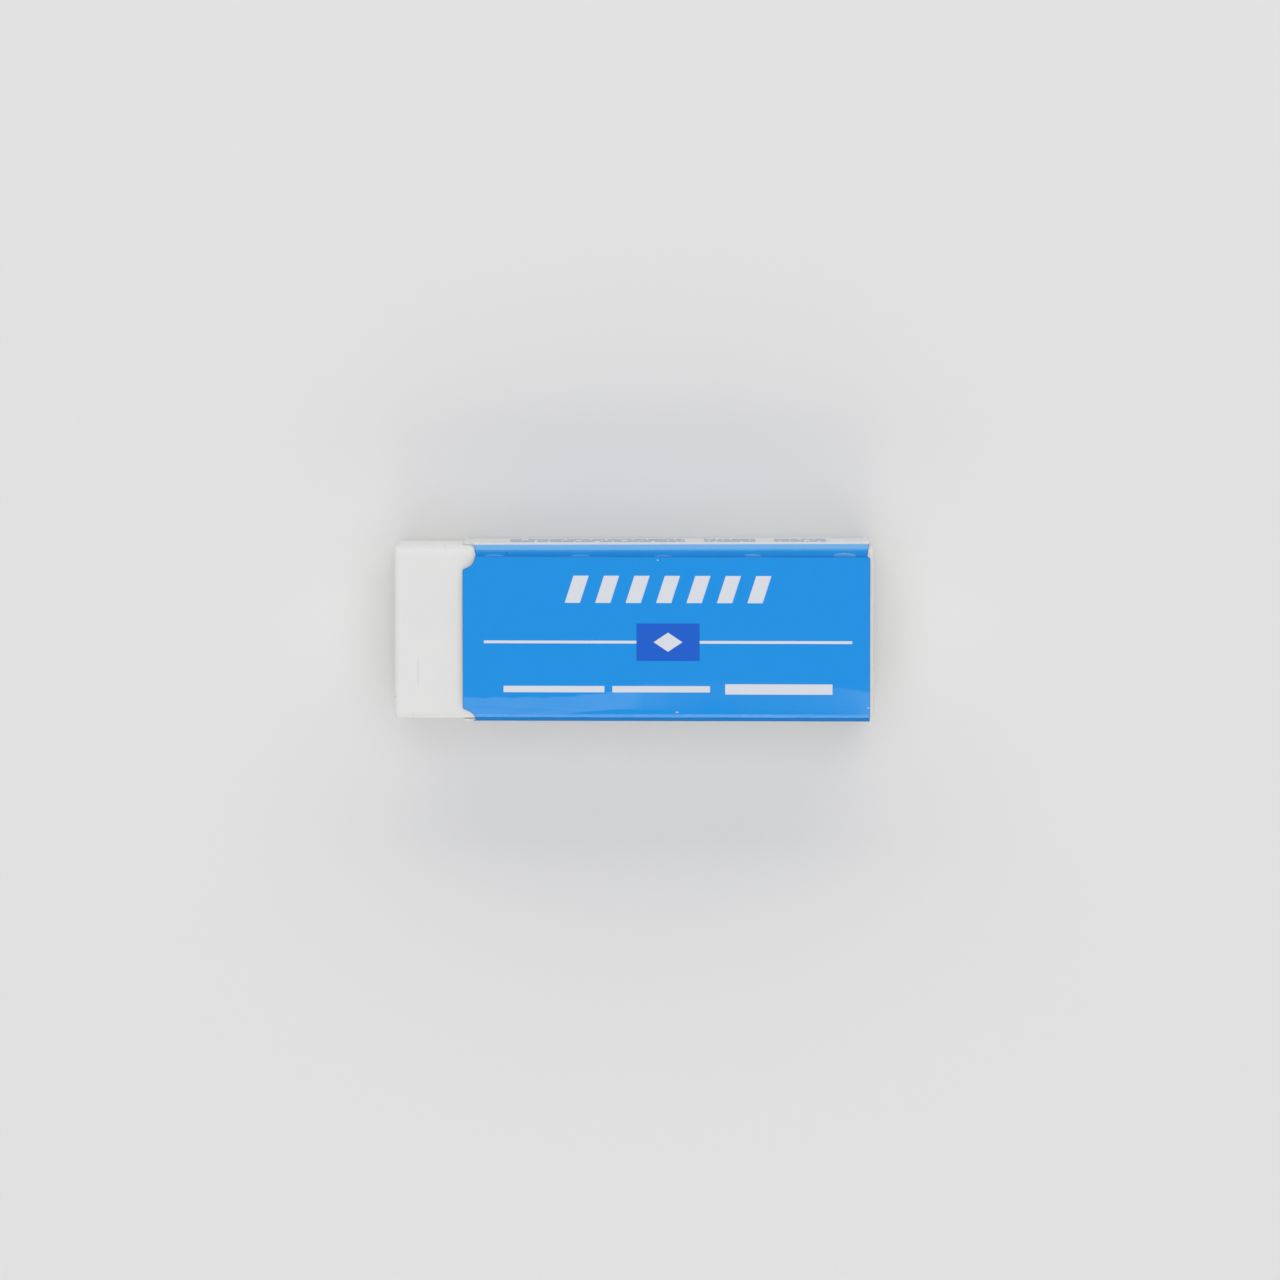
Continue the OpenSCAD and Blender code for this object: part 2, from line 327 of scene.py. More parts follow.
# The sleeve: one folded card
card = {
    "thick": 0.3,
    "glueThick": 0.05,
    "seamInset": 1.7,
    "flapShort": 3.0,
    "foldRadius": 1.05,  # outer radius of the two lower folds
    "nearFold": [(28.0, 0.6), (90.0, 1.5)],  # top folds: tilt reached and radius of each arc, from the top
    "farFold": [(28.0, 0.5), (38.0, 4.1), (90.0, 0.8)],
    "nearBow": 0.07,  # how far the near wall stands out at its top
    "bowFull": 2.0,  # the bow is full this far below the fold
    "notch": 1.55,
    "notchFillet": 0.35,
    "flapSetback": 1.41,
    "flapEndSetback": 0.15,
    "flapTaper": 9.0,
    "flapEndTaper": 0.8,  # share of the taper at the sleeve's other end
    "cornerRound": 0.3,
    "cutShoulder": 0.07,
    "seamShoulder": 0.02,
    "pressed": 0.6,  # share of a shoulder that is pressed down
    "climbs": [  # place along the sleeve, start from the fold and length of the top panel's climb
        (0, -0.25, 2.2), (12, -0.25, 2.3), (14.5, 0.1, 2.2), (17.5, 0.35, 2.2), (20, 0.45, 2.6),
        (22, 0.3, 3.6), (30, -0.2, 4.8), (44, -0.25, 4.4), (51, -0.25, 3.2),
    ],
    "climbRound": 0.06,
    "climbWaves": [(0.10, 3.7, 0, 0.4), (0.07, 1.9, 0, 2.2), (0.05, 1.1, 0, 1.3)],
    "crease": (0.02, 0.14),  # height and half width of the crease at the top of a steep climb
    "creaseFade": (2.2, 0.6),  # it fades with the climb's length, as smooth(2.2 - 0.6 * length)
    "skewNear": -0.0023,
    "skewFar": 0.0019,
    "crown": 0.05,
    "crownY": -0.8,
    "seamLift": 0.04,
    "seamLiftReach": 0.8,
    "waves": [(0.006, 17.0, 12, 0.3), (0.004, 7.3, -20, 1.1), (0.003, 4.1, 35, 2.0)],
    "wavesFade": 2.0,
    "edgeSteps": [0, 0.015, 0.04, 0.08, 0.15, 0.3, 0.6],  # grid lines beside the cut ends
    "cutReach": 5.0,  # the distance to a cut edge is kept up to here
    "steps": {"along": 90, "top": 54, "wall": 12, "base": 8, "flap": 34, "fold": 11, "farFold": 9,
              "notch": 12, "notchFillet": 6, "corner": 7},
    "look": {
        "paper": rgb(0.737, 0.765, 0.812),  # under the print of the top
        # painted shade: the walls and base are coloured a greyer card than the top, for the weaker light on
        # the side faces
        "wall": rgb(0.64, 0.655, 0.68),
        "blue": rgb(0.008, 0.311, 0.835),
        "blueDeep": rgb(0.0075, 0.296, 0.805),
        "badge": rgb(0.008, 0.121, 0.635),
        "violet": rgb(0.13, 0.18, 0.42),
        "foldPaintedShadeAndReflection": rgb(2.5, 0.71, 0.72),  # painted shade and painted reflection on the near fold: its ink as a share of the flat ink, darker in green and blue, with red raised for a reflection
        "farFoldPaintedShadeAndReflection": rgb(2.2, 0.98, 0.87),  # the same for the far fold
        "cutEdgePaintedShade": rgb(0.9, 0.68, 0.74),  # and for the ink crushed along a cut edge
        "cutWide": 0.09,
        "cutRagged": 0.05,
        "wallMargin": 0.4,
        "wornAndShadedTilt": 38.0,  # the varnish has cracked off the near fold beyond this tilt; the fold's painted shade and reflection start here too
        "wornDull": 0.85,
        "wornAndShadedRagged": 0.25,
        "rubbedWide": 1.6,  # fine rubbed streaks run along the near fold this far in
        "rubbedDull": 1.3,
        "rubbedDeep": 3.0,
        "clouds": (420.0, 4.0, 0.6),  # scale, detail and roughness of a noise
        "streaks": (1500.0, 3.0, 0.6),
        "smudge": (90.0, 5.0, 0.65),
        "rubbed": (1700.0, 3.0, 0.6),
        "orangePeel": (700.0, 3.0, 0.5),
        "fibre": (900.0, 4.0, 0.6),
        "bump": {"Strength": 0.25, "Distance": 0.00003},
        "paperCoat": 0.3,
        "chips": [(5.4, 19.5, 0.2), (29.3, 18.9, 0.16), (2.95, 0.45, 0.13)],  # X, v and half length
        "chipFlat": 0.45,
        "chipBare": 0.85,
        "speck": (-15.9, 0.15, 0.1),  # X, distance from the flap's start, and radius
        "speckColour": rgb(0.01, 0.10, 0.32),
        "cutLayers": (rgb(0.72, 0.72, 0.71), rgb(0.84, 0.84, 0.82)),
        # partly painted shade: the seam's cut face is dark blue for the ink on it and for the shaded gap
        # under the panel
        "inkedAndShadedCut": rgb(0.012, 0.16, 0.42),
        "inkedCutReach": (0.03, 0.02),
    },
    "print": {
        "soft": 0.05,
        "shift": 0.2,  # of the print's middle from the sleeve's
        "ruleY": -1.2, "rule": (46.0, 0.35),
        "badge": (7.9, 4.7), "lozenge": (3.6, 2.4),
        "slants": 7, "slantPitch": 3.8, "slant": (1.9, 3.4), "slantLean": 1.1, "slantY": 5.4,
        "captionY": -7.1, "captionLengths": [12.6, 12.2, 13.4], "captionGaps": [1.0, 1.9],
        "captionHeights": [0.8, 0.8, 1.3],
        "nearWrap": 72.0, "farWrap": 41.0,  # tilt of the folds at which the blue ends
        "underFlap": 2.4,  # how far the blue reaches over the flap
        "sideRuleZ": 1.6, "sideRuleThick": 0.45, "sideMargin": 0.5, "sideGap": (13.2, 15.6),
        "sideRows": 3, "sideRowPitch": 2.5, "sideBarDrop": 4.8, "sideBarHeight": 1.3,
        "sideLengths": [22.0, 6.4, 6.5], "sideBarGap": 2.4,
        "dashPitch": 2.6, "dashSway": 0.5, "dashTurn": 1.15, "dashGap": 0.13,
        "rowTurn": 0.17, "rowSway": 2.1, "rowShift": 0.37,  # each row's dashes differ by these
    },
}
cardLow, cardHigh = boxInMm("card_sleeve")
halfWidth = cardHigh[1]
topZ = cardHigh[2]
foldZ = topZ - card["thick"] - card["glueThick"]
foldRadius = card["foldRadius"]
flatY = halfWidth - foldRadius
nearY = halfWidth + card["nearBow"]
seamY = halfWidth - card["seamInset"]
flapY = card["flapShort"] - halfWidth
sleeveLength = cardHigh[0] - cardLow[0]

notchReach = math.sqrt((card["notch"] + card["notchFillet"]) ** 2 - card["notchFillet"] ** 2)
notchTouch = card["notch"] * notchReach / (card["notch"] + card["notchFillet"])


def notchDepth(d):
    # sqrt(r^2 - d^2) from the centre to the fillet, f - sqrt(f^2 - (reach - d)^2) along it, then 0
    r, f = card["notch"], card["notchFillet"]
    inCircle = np.sqrt(np.clip(r * r - d * d, 0, None))
    onFillet = f - np.sqrt(np.clip(f * f - (notchReach - d) ** 2, 0, None))
    return np.where(d < notchTouch, inCircle, np.where(d < notchReach, onFillet, 0.0))


def notchSteps(first):
    # distances from a notch's centre, r sin(angle) on the circle and reach - f cos(angle) on the fillet
    r, f, steps = card["notch"], card["notchFillet"], card["steps"]
    onCircle = r * np.sin(np.linspace(math.asin(first / r), math.asin(notchTouch / r), steps["notch"]))
    start = math.acos((notchReach - notchTouch) / f)
    onFillet = notchReach - f * np.cos(np.linspace(start, math.pi / 2, steps["notchFillet"])[1:])
    return np.concatenate([onCircle, onFillet])


def panelPart(coordinate, along, across, normal, notches=()):
    # a flat panel: one coordinate runs along it, and the notches' distances are counted from their places
    places = np.zeros((len(coordinate), 2))
    places[:, along] = coordinate
    places[:, 1 - along] = across
    distance = np.full(len(coordinate), beyond)
    for notch in notches:
        distance = np.minimum(distance, np.abs(coordinate - notch))
    return places, np.tile(normal, (len(coordinate), 1)), distance


def arcPart(centre, radius, fromAngle, toAngle, count, notchFrom=beyond, notchTo=beyond):
    # centre + radius (cos a, sin a), with distances from the notch that change evenly along the arc
    t = np.linspace(0, 1, count)
    a = np.radians(fromAngle + (toAngle - fromAngle) * t)
    normal = np.stack([np.cos(a), np.sin(a)], axis=-1)
    return np.array(centre) + radius * normal, normal, np.abs(notchFrom + (notchTo - notchFrom) * t)


def foldArcs(turns):
    # a fold from the top outwards, each arc tangent to the one before
    # centres are (outward, up) from the fold's start; the reach outward and downward comes last
    arcs, place, before = [], np.zeros(2), 0.0
    for tilt, radius in turns:
        a, b = math.radians(before), math.radians(tilt)
        centre = place - radius * np.array([math.sin(a), math.cos(a)])
        place = centre + radius * np.array([math.sin(b), math.cos(b)])
        arcs.append((centre, radius, before, tilt))
        before = tilt
    return arcs, place[0], -place[1]


def nearFoldParts(arcs, reachY, reachZ):
    # the notch's distances change evenly from -reachY at the top to reachZ at the wall
    lengths = np.array([radius * math.radians(after - before) for _, radius, before, after in arcs])
    shares = np.concatenate([[0], np.cumsum(lengths)]) / lengths.sum()
    distances = -reachY + (reachY + reachZ) * shares
    startY = nearY - reachY
    parts = {}
    for k, (centre, radius, before, after) in enumerate(arcs):
        middle = (-startY - centre[0], foldZ + centre[1])
        parts[f"nearTop{k}"] = arcPart(middle, radius, 90 + before, 90 + after, card["steps"]["fold"],
                                       distances[k], distances[k + 1])
    return parts


def farFoldParts(arcs, reachY):
    startY = halfWidth - reachY
    parts = {}
    for k, (centre, radius, before, after) in reversed(list(enumerate(arcs))):
        middle = (startY + centre[0], foldZ + centre[1])
        parts[f"farTop{k}"] = arcPart(middle, radius, 90 - after, 90 - before, card["steps"]["farFold"])
    return parts


def sectionParts():
    # the card's outer face from the seam round to the flap's hidden edge, as Y and Z
    count = card["steps"]
    reach = halfWidth - notchReach
    steps = notchSteps(foldRadius)
    seamSteps = np.union1d(notchSteps(0.0), np.linspace(0, card["cornerRound"], count["corner"]))
    nearArcs, nearReachY, nearReachZ = foldArcs(card["nearFold"])
    farArcs, farReachY, farReachZ = foldArcs(card["farFold"])
    top = np.concatenate([seamY - seamSteps, between(seamY - notchReach, notchReach - nearY, count["top"]),
                          -nearY + notchSteps(nearReachY)[::-1]])
    wall = np.concatenate([foldZ - notchSteps(nearReachZ),
                           between(foldZ - notchReach, notchReach, count["wall"]), steps[::-1]])
    bow = smooth((wall - notchReach) / (foldZ - nearReachZ - notchReach - card["bowFull"]))
    base = np.concatenate([-halfWidth + steps, between(-reach, reach, count["base"]),
                           halfWidth - steps[::-1]])
    farWall = np.concatenate([steps, between(notchReach, foldZ - notchReach, count["base"]),
                              foldZ - notchSteps(farReachZ)[::-1]])
    flap = np.linspace(halfWidth - farReachY, flapY, count["flap"])

    def lowerFold(middleY, fromAngle):
        return arcPart((middleY, foldRadius), foldRadius, fromAngle, fromAngle + 90, count["fold"],
                       -foldRadius, foldRadius)

    return {
        "top": panelPart(top, 0, foldZ, (0, 1), (-nearY, seamY)),
        **nearFoldParts(nearArcs, nearReachY, nearReachZ),
        "nearWall": panelPart(wall, 1, -halfWidth - card["nearBow"] * bow, (-1, 0), (0, foldZ)),
        "nearBase": lowerFold(-flatY, 180),
        "base": panelPart(base, 0, 0, (0, -1), (-halfWidth, halfWidth)),
        "farBase": lowerFold(flatY, 270),
        "farWall": panelPart(farWall, 1, halfWidth, (1, 0), (0, foldZ)),
        **farFoldParts(farArcs, farReachY),
        "flap": panelPart(flap, 0, foldZ, (0, 1)),
    }


def sectionPath():
    # the parts end to end, each without the point that it shares with the one before
    names, starts, pieces = [], {}, []
    run = 0.0
    for name, (place, normal, notchDistance) in sectionParts().items():
        length = np.concatenate([[0], np.cumsum(np.hypot(*np.diff(place, axis=0).T))])
        skip = 1 if pieces else 0
        starts[name] = run
        names += [name] * (len(place) - skip)
        pieces.append(np.column_stack([place, run + length, normal, notchDistance])[skip:])
        run += length[-1]
    path = dict(zip(["y", "z", "run", "normalY", "normalZ", "notchDistance"], np.concatenate(pieces).T))
    path["starts"] = starts
    path["names"] = np.array(names)
    path["inFlap"] = np.char.startswith(path["names"], "farTop") | (path["names"] == "flap")
    return path


def cutEnds(path):
    # X of the sleeve's two cut ends at each point of the path
    y, z, names, starts, inFlap = (path[key] for key in ("y", "z", "names", "starts", "inFlap"))
    lastArc = len(card["farFold"]) - 1
    arcStart, arcEnd = starts[f"farTop{lastArc}"], starts[f"farTop{lastArc - 1}"]
    farT = np.clip((path["run"] - arcStart) / (arcEnd - arcStart), 0, 1)
    flapIn = np.clip(y[inFlap & (farT < 1)].min() - y, 0, None)
    tapered = math.tan(math.radians(card["flapTaper"])) * flapIn
    # the far wall's notch keeps, above the wall, the depth that it has at the wall's top
    heldDepth = notchDepth(foldZ - np.where(inFlap, z[names == "farWall"][-1], z))
    startInset = np.where(inFlap, (1 - farT) * heldDepth + farT * card["flapSetback"] + tapered,
                          notchDepth(path["notchDistance"]))
    endInset = np.where(inFlap, farT * card["flapEndSetback"] + card["flapEndTaper"] * tapered, 0.0)
    endInset += roundOff(np.where(names == "top", seamY - y, beyond), card["cornerRound"])
    return cardLow[0] + startInset, cardHigh[0] - endInset


def topHeight(along, y, toSeam):
    # the top panel climbs from the near fold onto the flap, over a length that changes along the sleeve
    climbPlace, climbStart, climbLength = zip(*card["climbs"])
    climbLength = np.interp(along, climbPlace, climbLength) + ripple(along, 0 * along, card["climbWaves"])
    up = (y + flatY - np.interp(along, climbPlace, climbStart)) / climbLength
    glueGap = np.abs(np.sin(math.pi * (along - glue["first"]) / gluePitch()))
    lift = card["seamLift"] * glueGap ** 2 * np.exp(-toSeam / card["seamLiftReach"])
    bulge = card["crown"] * (1 - ((y - card["crownY"]) / halfWidth) ** 2)
    wave = ripple(along, y + 0 * along, card["waves"]) * smooth((y + halfWidth) / card["wavesFade"])
    high, half = card["crease"]
    steep, fade = card["creaseFade"]
    crease = high * smooth(steep - fade * climbLength) * np.exp(-((up - 1) * climbLength / half) ** 2 / 2)
    return (topZ - foldZ + bulge + lift + wave) * ramp(up, card["climbRound"]) + crease


def makeSleeve(path, materials):
    # rows run along X from end to end, columns follow the section path
    y, z, names, inFlap = (path[key] for key in ("y", "z", "names", "inFlap"))
    first, last = cutEnds(path)
    edge = np.array(card["edgeSteps"])
    middle = between(0, 1, card["steps"]["along"])
    inner = first + edge[-1] + np.outer(middle, last - first - 2 * edge[-1])
    x = np.concatenate([first + edge[:, None], inner, last - edge[::-1][:, None]])
    rows, cols = x.shape
    along = x - cardLow[0]
    # distance to the nearest cut edge
    toNotch = np.hypot(along, path["notchDistance"]) - card["notch"]
    toStart = np.where(inFlap, x - first, np.minimum(along, toNotch))
    toEnd = last - x
    toSeam = np.where(names == "top", seamY - y, beyond)
    cut = np.minimum(np.minimum(toStart, toEnd), toSeam)
    height = np.where(np.isin(names, ["top", "nearTop0", "nearTop1"]), topHeight(along, y, toSeam), 0.0)
    # the near side and the far side are folded slightly out of square
    farShare = np.where(inFlap | np.isin(names, ["farBase", "farWall"]), 1.0, 0.0)
    farShare = np.where(names == "base", (y + halfWidth) / (2 * halfWidth), farShare)
    skew = card["skewNear"] * (1 - farShare) + card["skewFar"] * farShare
    outer = np.stack([x, y + skew * (along - sleeveLength / 4), z + height], axis=-1)
    towards = np.stack([np.zeros(cols), path["normalY"], path["normalZ"]], axis=-1)
    inner = outer - card["thick"] * towards
    pressed = np.maximum(roundOff(np.minimum(toStart, toEnd), card["cutShoulder"]),
                         roundOff(toSeam, card["seamShoulder"]))
    outer = outer - card["pressed"] * pressed[..., None] * towards
    points = np.concatenate([outer.reshape(-1, 3), inner.reshape(-1, 3)])
    # the outer face, the inner face and the rim that joins them
    count = rows * cols
    rim = np.concatenate([
        np.arange(cols), np.arange(1, rows) * cols + cols - 1,
        (rows - 1) * cols + np.arange(cols - 2, -1, -1), np.arange(rows - 2, 0, -1) * cols,
    ])
    rimQuads = np.stack([rim, np.roll(rim, -1), np.roll(rim, -1) + count, rim + count], axis=-1)
    outerQuads = gridQuads(rows, cols)
    quads = np.concatenate([outerQuads, gridQuads(rows, cols, count)[:, ::-1], rimQuads])
    slots = np.concatenate([np.zeros(len(outerQuads)), np.ones(len(outerQuads) + len(rim))])
    obj = buildObject("sleeveCard", points, quads, materials, slots)
    mesh = obj.data
    cutValue = mesh.attributes.new("cutDistance", "FLOAT", "POINT")
    cut = np.clip(cut, 0, card["cutReach"]).astype(np.float32)
    cutValue.data.foreach_set("value", np.tile(cut.ravel(), 2))
    flat = np.stack([along, np.broadcast_to(path["run"], x.shape)], axis=-1).reshape(-1, 2)
    layer = mesh.uv_layers.new(name="flatCard")
    corners = np.zeros(len(mesh.loops), np.int32)
    mesh.loops.foreach_get("vertex_index", corners)
    layer.data.foreach_set("uv", np.tile(flat, (2, 1))[corners].ravel().astype(np.float32))
    turnOutward(obj)
    # the edges between a face and the rim are sharp
    ends = np.zeros(len(mesh.edges) * 2, np.int32)
    mesh.edges.foreach_get("vertices", ends)
    ends = ends.reshape(-1, 2)
    onRim = np.zeros(2 * count, bool)
    onRim[rim] = True
    onRim[rim + count] = True
    sameSide = (ends[:, 0] < count) == (ends[:, 1] < count)
    mesh.edges.foreach_set("use_edge_sharp", onRim[ends].all(axis=1) & sameSide)
    return obj


def barRow(along, level, lengths, gaps, heights, centre):
    # bars side by side about along = 0
    soft = card["print"]["soft"]
    start = -(sum(lengths) + sum(gaps)) / 2
    bars = []
    for length, gap, tall in zip(lengths, [*gaps, 0], heights):
        bars.append(patch(along, level, (start + length / 2, centre), (length, tall), soft))
        start += length + gap
    row = bars[0]
    for bar in bars[1:]:
        row = row.most(bar)
    return row


def topMarks(wire, fromMiddle, y):
    # masks of the top panel's white marks and of its badge
    printed = card["print"]
    soft, ruleY, pitch = printed["soft"], printed["ruleY"], printed["slantPitch"]
    rule = patch(fromMiddle, y, (0, ruleY), printed["rule"], soft)
    badge = patch(fromMiddle, y, (0, ruleY), printed["badge"], soft)
    wide, high = printed["slant"]
    lean = fromMiddle - (y - printed["slantY"]) * (printed["slantLean"] / high)
    turn = wire.sum("FRACT", lean / pitch + printed["slants"] / 2)
    slants = band(turn, 0.5 - wide / 2 / pitch, 0.5 + wide / 2 / pitch, soft / pitch)
    slants = slants * patch(lean, y, (0, printed["slantY"]), (printed["slants"] * pitch, high), soft)
    caption = barRow(fromMiddle, y, printed["captionLengths"], printed["captionGaps"],
                     printed["captionHeights"], printed["captionY"])
    lozengeX, lozengeY = printed["lozenge"]
    across = wire.sum("ABSOLUTE", fromMiddle) / (lozengeX / 2)
    up = wire.sum("ABSOLUTE", y - ruleY) / (lozengeY / 2)
    lozenge = ((1.0 - across - up) * 24.0 + 0.5).clamp()
    white = rule.most(slants).most(caption) * (1.0 - badge)
    return white.most(lozenge), badge


def sideMarks(wire, u, z, fromMiddle):
    # mask of the far wall's violet marks: a rule with a gap in it, and rows of plain dashes
    printed = card["print"]
    soft = printed["soft"]
    ruleHigh = printed["sideRuleThick"]
    rule = patch(u, z, (sleeveLength / 2, printed["sideRuleZ"] + ruleHigh / 2),
                 (sleeveLength - 2 * printed["sideMargin"], ruleHigh), soft)
    gapMiddle, gapLength = printed["sideGap"]
    gapMiddle -= printed["shift"]
    gap = band(fromMiddle, gapMiddle - gapLength / 2, gapMiddle + gapLength / 2, soft)
    marks = rule * (1.0 - gap)
    bars = len(printed["sideLengths"])
    for k in range(printed["sideRows"]):
        rowZ = foldZ - printed["sideBarDrop"] + (k - (printed["sideRows"] - 1) / 2) * printed["sideRowPitch"]
        row = barRow(fromMiddle, z, printed["sideLengths"], [printed["sideBarGap"]] * (bars - 1),
                     [printed["sideBarHeight"]] * bars, rowZ)
        # gaps at even steps of u + sway * sin(turn * u + start), so that the dashes have uneven lengths
        angle = u * (printed["dashTurn"] + printed["rowTurn"] * k) + printed["rowSway"] * k
        sway = wire.sum("SINE", angle) * printed["dashSway"]
        dash = wire.sum("FRACT", (u + sway) / printed["dashPitch"] + printed["rowShift"] * k)
        marks = marks.most(row * band(dash, printed["dashGap"], 2.0, soft / printed["dashPitch"]))
    return marks


def cardMaterial(starts):
    # print laid out on the flat card: u runs along the sleeve, v from the seam round the section
    look, printed = card["look"], card["print"]
    soft = printed["soft"]
    material, surface, wire = newMaterial("cardPrint", {
        "Specular IOR Level": 0.0, "Coat IOR": 1.55, "Coat Roughness": 0.11,
    })
    place = objectPlace(wire)
    flat = wire.node("UVMap", {"uv_map": "flatCard"}, {})
    u, v = flat.part(0), flat.part(1)
    cut = wire.node("Attribute", {"attribute_name": "cutDistance"}, {}, "Fac")
    fromMiddle = u - (sleeveLength / 2 + printed["shift"])
    white, badge = topMarks(wire, fromMiddle, seamY - v)
    violet = sideMarks(wire, u, v - starts["farWall"] + foldRadius, fromMiddle)

    # where the folds turn: v at a tilt of the near fold, of the far one, and the ends of the blue fields
    turned, nearRadius = card["nearFold"][0][0], card["nearFold"][1][1]
    nearEnd = starts["nearTop1"] + math.radians(printed["nearWrap"] - turned) * nearRadius
    wornAndShadedFrom = starts["nearTop1"] + math.radians(look["wornAndShadedTilt"] - turned) * nearRadius
    farStart = starts["farTop2"] + math.radians(90 - printed["farWrap"]) * card["farFold"][2][1]
    baseStart = starts["base"] - math.radians(printed["nearWrap"]) * foldRadius
    baseEnd = starts["farBase"] + math.radians(printed["farWrap"]) * foldRadius
    blue = band(v, -1.0, nearEnd, soft).most(band(v, baseStart, baseEnd, soft))
    blue = blue.most(band(v, farStart, starts["flap"] + printed["underFlap"], soft))
    ink = blue * (1.0 - white)

    # ink and paper
    clouds = place.noise(*look["clouds"])
    streaks = place.stretch(0.2, 1.0, 1.0).noise(*look["streaks"])
    inkColour = badge.colours(clouds.colours(look["blueDeep"], look["blue"]), look["badge"])
    # painted shade and painted reflection: this mask darkens the near fold's ink and raises its red; it also
    # takes the varnish off there
    onFold = band(v + (streaks - 0.5) * look["wornAndShadedRagged"], wornAndShadedFrom, starts["base"], 0.08)
    # painted shade and painted reflection on the far fold's ink
    onFarFold = band(v, starts["farTop2"], starts["flap"], 0.2)
    # painted shade: the ink within a narrow ragged strip along each cut edge is darkened
    paintedEdgeShade = band(cut + (streaks - 0.5) * look["cutRagged"], -1.0, look["cutWide"], 0.05)
    for where, share in ((onFold, "foldPaintedShadeAndReflection"), (onFarFold, "farFoldPaintedShadeAndReflection"), (paintedEdgeShade, "cutEdgePaintedShade")):
        inkColour = where.shade(inkColour, look[share])
    # painted shade: the card beyond the top is mixed to the greyer wall colour
    sidesPaintedShade = band(v, nearEnd - look["wallMargin"], farStart + look["wallMargin"], 0.2)
    paper = sidesPaintedShade.colours(look["paper"], look["wall"])
    paper = violet.colours(paper, look["violet"])

    def spot(centreX, centreV, half, flatness):
        # 1 in the middle of an ellipse that is longer along X, down to 0 at its edge
        alongX = (u - (centreX - cardLow[0])) / half
        acrossV = (v - centreV) / (half * flatness)
        return ((1.0 - alongX * alongX - acrossV * acrossV) * 2.5).clamp()

    speckX, speckV, speckHalf = look["speck"]
    speck = spot(speckX, starts["flap"] + speckV, speckHalf, 1.0)
    inkColour = speck.colours(inkColour, look["speckColour"])
    for chip in look["chips"]:
        ink = ink * (1.0 - spot(*chip, look["chipFlat"]) * look["chipBare"])
    plug(ink.colours(paper, inkColour), surface.inputs["Base Color"])
    plug(place.noise(*look["smudge"]) * 0.1 + 0.4, surface.inputs["Roughness"])

    # varnish, cracked off the near fold and rubbed beside it
    rubbed = place.stretch(0.09, 1.0, 1.0).noise(*look["rubbed"])
    nearFold = band(v, starts["nearTop0"] - look["rubbedWide"], starts["nearWall"], look["rubbedWide"])
    dulled = 1.0 - nearFold * ((rubbed - 0.42) * look["rubbedDull"]).clamp()
    dulled = (1.0 - onFold * look["wornDull"]) * dulled
    coat = ink * (1 - look["paperCoat"]) + look["paperCoat"]
    plug(dulled * coat, surface.inputs["Coat Weight"])
    fibre = place.stretch(0.25, 1.0, 1.0).noise(*look["fibre"])
    height = place.noise(*look["orangePeel"]) * 0.5 + fibre + rubbed * nearFold * look["rubbedDeep"]
    bump = wire.node("Bump", {}, {**look["bump"], "Height": height})
    plug(bump, surface.inputs["Normal"])
    return material


def cutMaterial():
    look = card["look"]
    material, surface, wire = newMaterial("cardCut", {"Roughness": 0.8, "Specular IOR Level": 0.3})
    layers = objectPlace(wire).stretch(1.0, 1.0, 5.0).noise(1200.0).colours(*look["cutLayers"])
    v = wire.node("UVMap", {"uv_map": "flatCard"}, {}).part(1)
    # the seam's face is coloured dark blue: the knife's ink drawn over it, and painted shade of the gap
    # under the panel's edge
    atSeam = band(v, -1.0, *look["inkedCutReach"])
    plug(atSeam.colours(layers, look["inkedAndShadedCut"]), surface.inputs["Base Color"])
    return material


# Glue pressed out along the seam
glue = {
    "first": 4.0,
    "last": 3.1,
    "count": 5,
    "shifts": [0.0, -0.25, -0.85, -0.65, -0.1],
    "halfLength": [1.2, 1.2, 1.1, 1.1, 1.5],
    "outward": [0.22, 0.2, 0.16, 0.28, 0.46],
    "height": [0.13, 0.12, 0.1, 0.15, 0.24],
    "inward": 0.7,
    "below": 0.15,  # share of the height that lies below the fold's level
    "rings": 17,
    "round": 40,
    "merge": 0.001,
    "colours": (rgb(0.02, 0.26, 0.66), rgb(0.07, 0.34, 0.74)),
}


def gluePitch():
    return (sleeveLength - glue["first"] - glue["last"]) / (glue["count"] - 1)


def makeGlue(material):
    # flattened drops: an ellipsoid whose outward and inward half widths differ
    latitude, longitude = np.meshgrid(np.linspace(0, math.pi, glue["rings"]),
                                      np.linspace(0, 2 * math.pi, glue["round"] + 1)[:-1], indexing="ij")
    across = np.sin(latitude) * np.sin(longitude)
    allPoints, allQuads = [], []
    for i in range(glue["count"]):
        placeX = cardLow[0] + glue["first"] + i * gluePitch() + glue["shifts"][i]
        x = placeX + glue["halfLength"][i] * np.sin(latitude) * np.cos(longitude)
        y = seamY + np.where(across > 0, glue["outward"][i], glue["inward"]) * across
        z = foldZ + glue["height"][i] * np.clip(np.cos(latitude), -glue["below"], 1)
        allQuads.append(gridQuads(*x.shape, first=i * x.size, wrapCols=True))
        allPoints.append(np.stack([x, y, z], axis=-1).reshape(-1, 3))
    obj = buildObject("glueBeads", np.concatenate(allPoints), np.concatenate(allQuads), [material])
    turnOutward(obj, glue["merge"])
    return obj


def glueMaterial():
    material, surface, wire = newMaterial("glueFinish", {"Roughness": 0.12, "Specular IOR Level": 0.5})
    plug(objectPlace(wire).noise(1500.0).colours(*glue["colours"]), surface.inputs["Base Color"])
    return material


# Pieces and the bodies that they ride on
block = makeBlock(rubberMaterial())
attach(block, "block")
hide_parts("eraser_block")
print("block:", len(block.data.polygons), "faces")

sleevePath = sectionPath()
sleeve = makeSleeve(sleevePath, [cardMaterial(sleevePath["starts"]), cutMaterial()])
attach(sleeve, "sleeve")
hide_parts("card_sleeve", "blue_print", "badge_print", "side_print")
print("sleeve:", len(sleeve.data.polygons), "faces")

beads = makeGlue(glueMaterial())
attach(beads, "sleeve")
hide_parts("glue_dots")
print("glue:", len(beads.data.polygons), "faces")


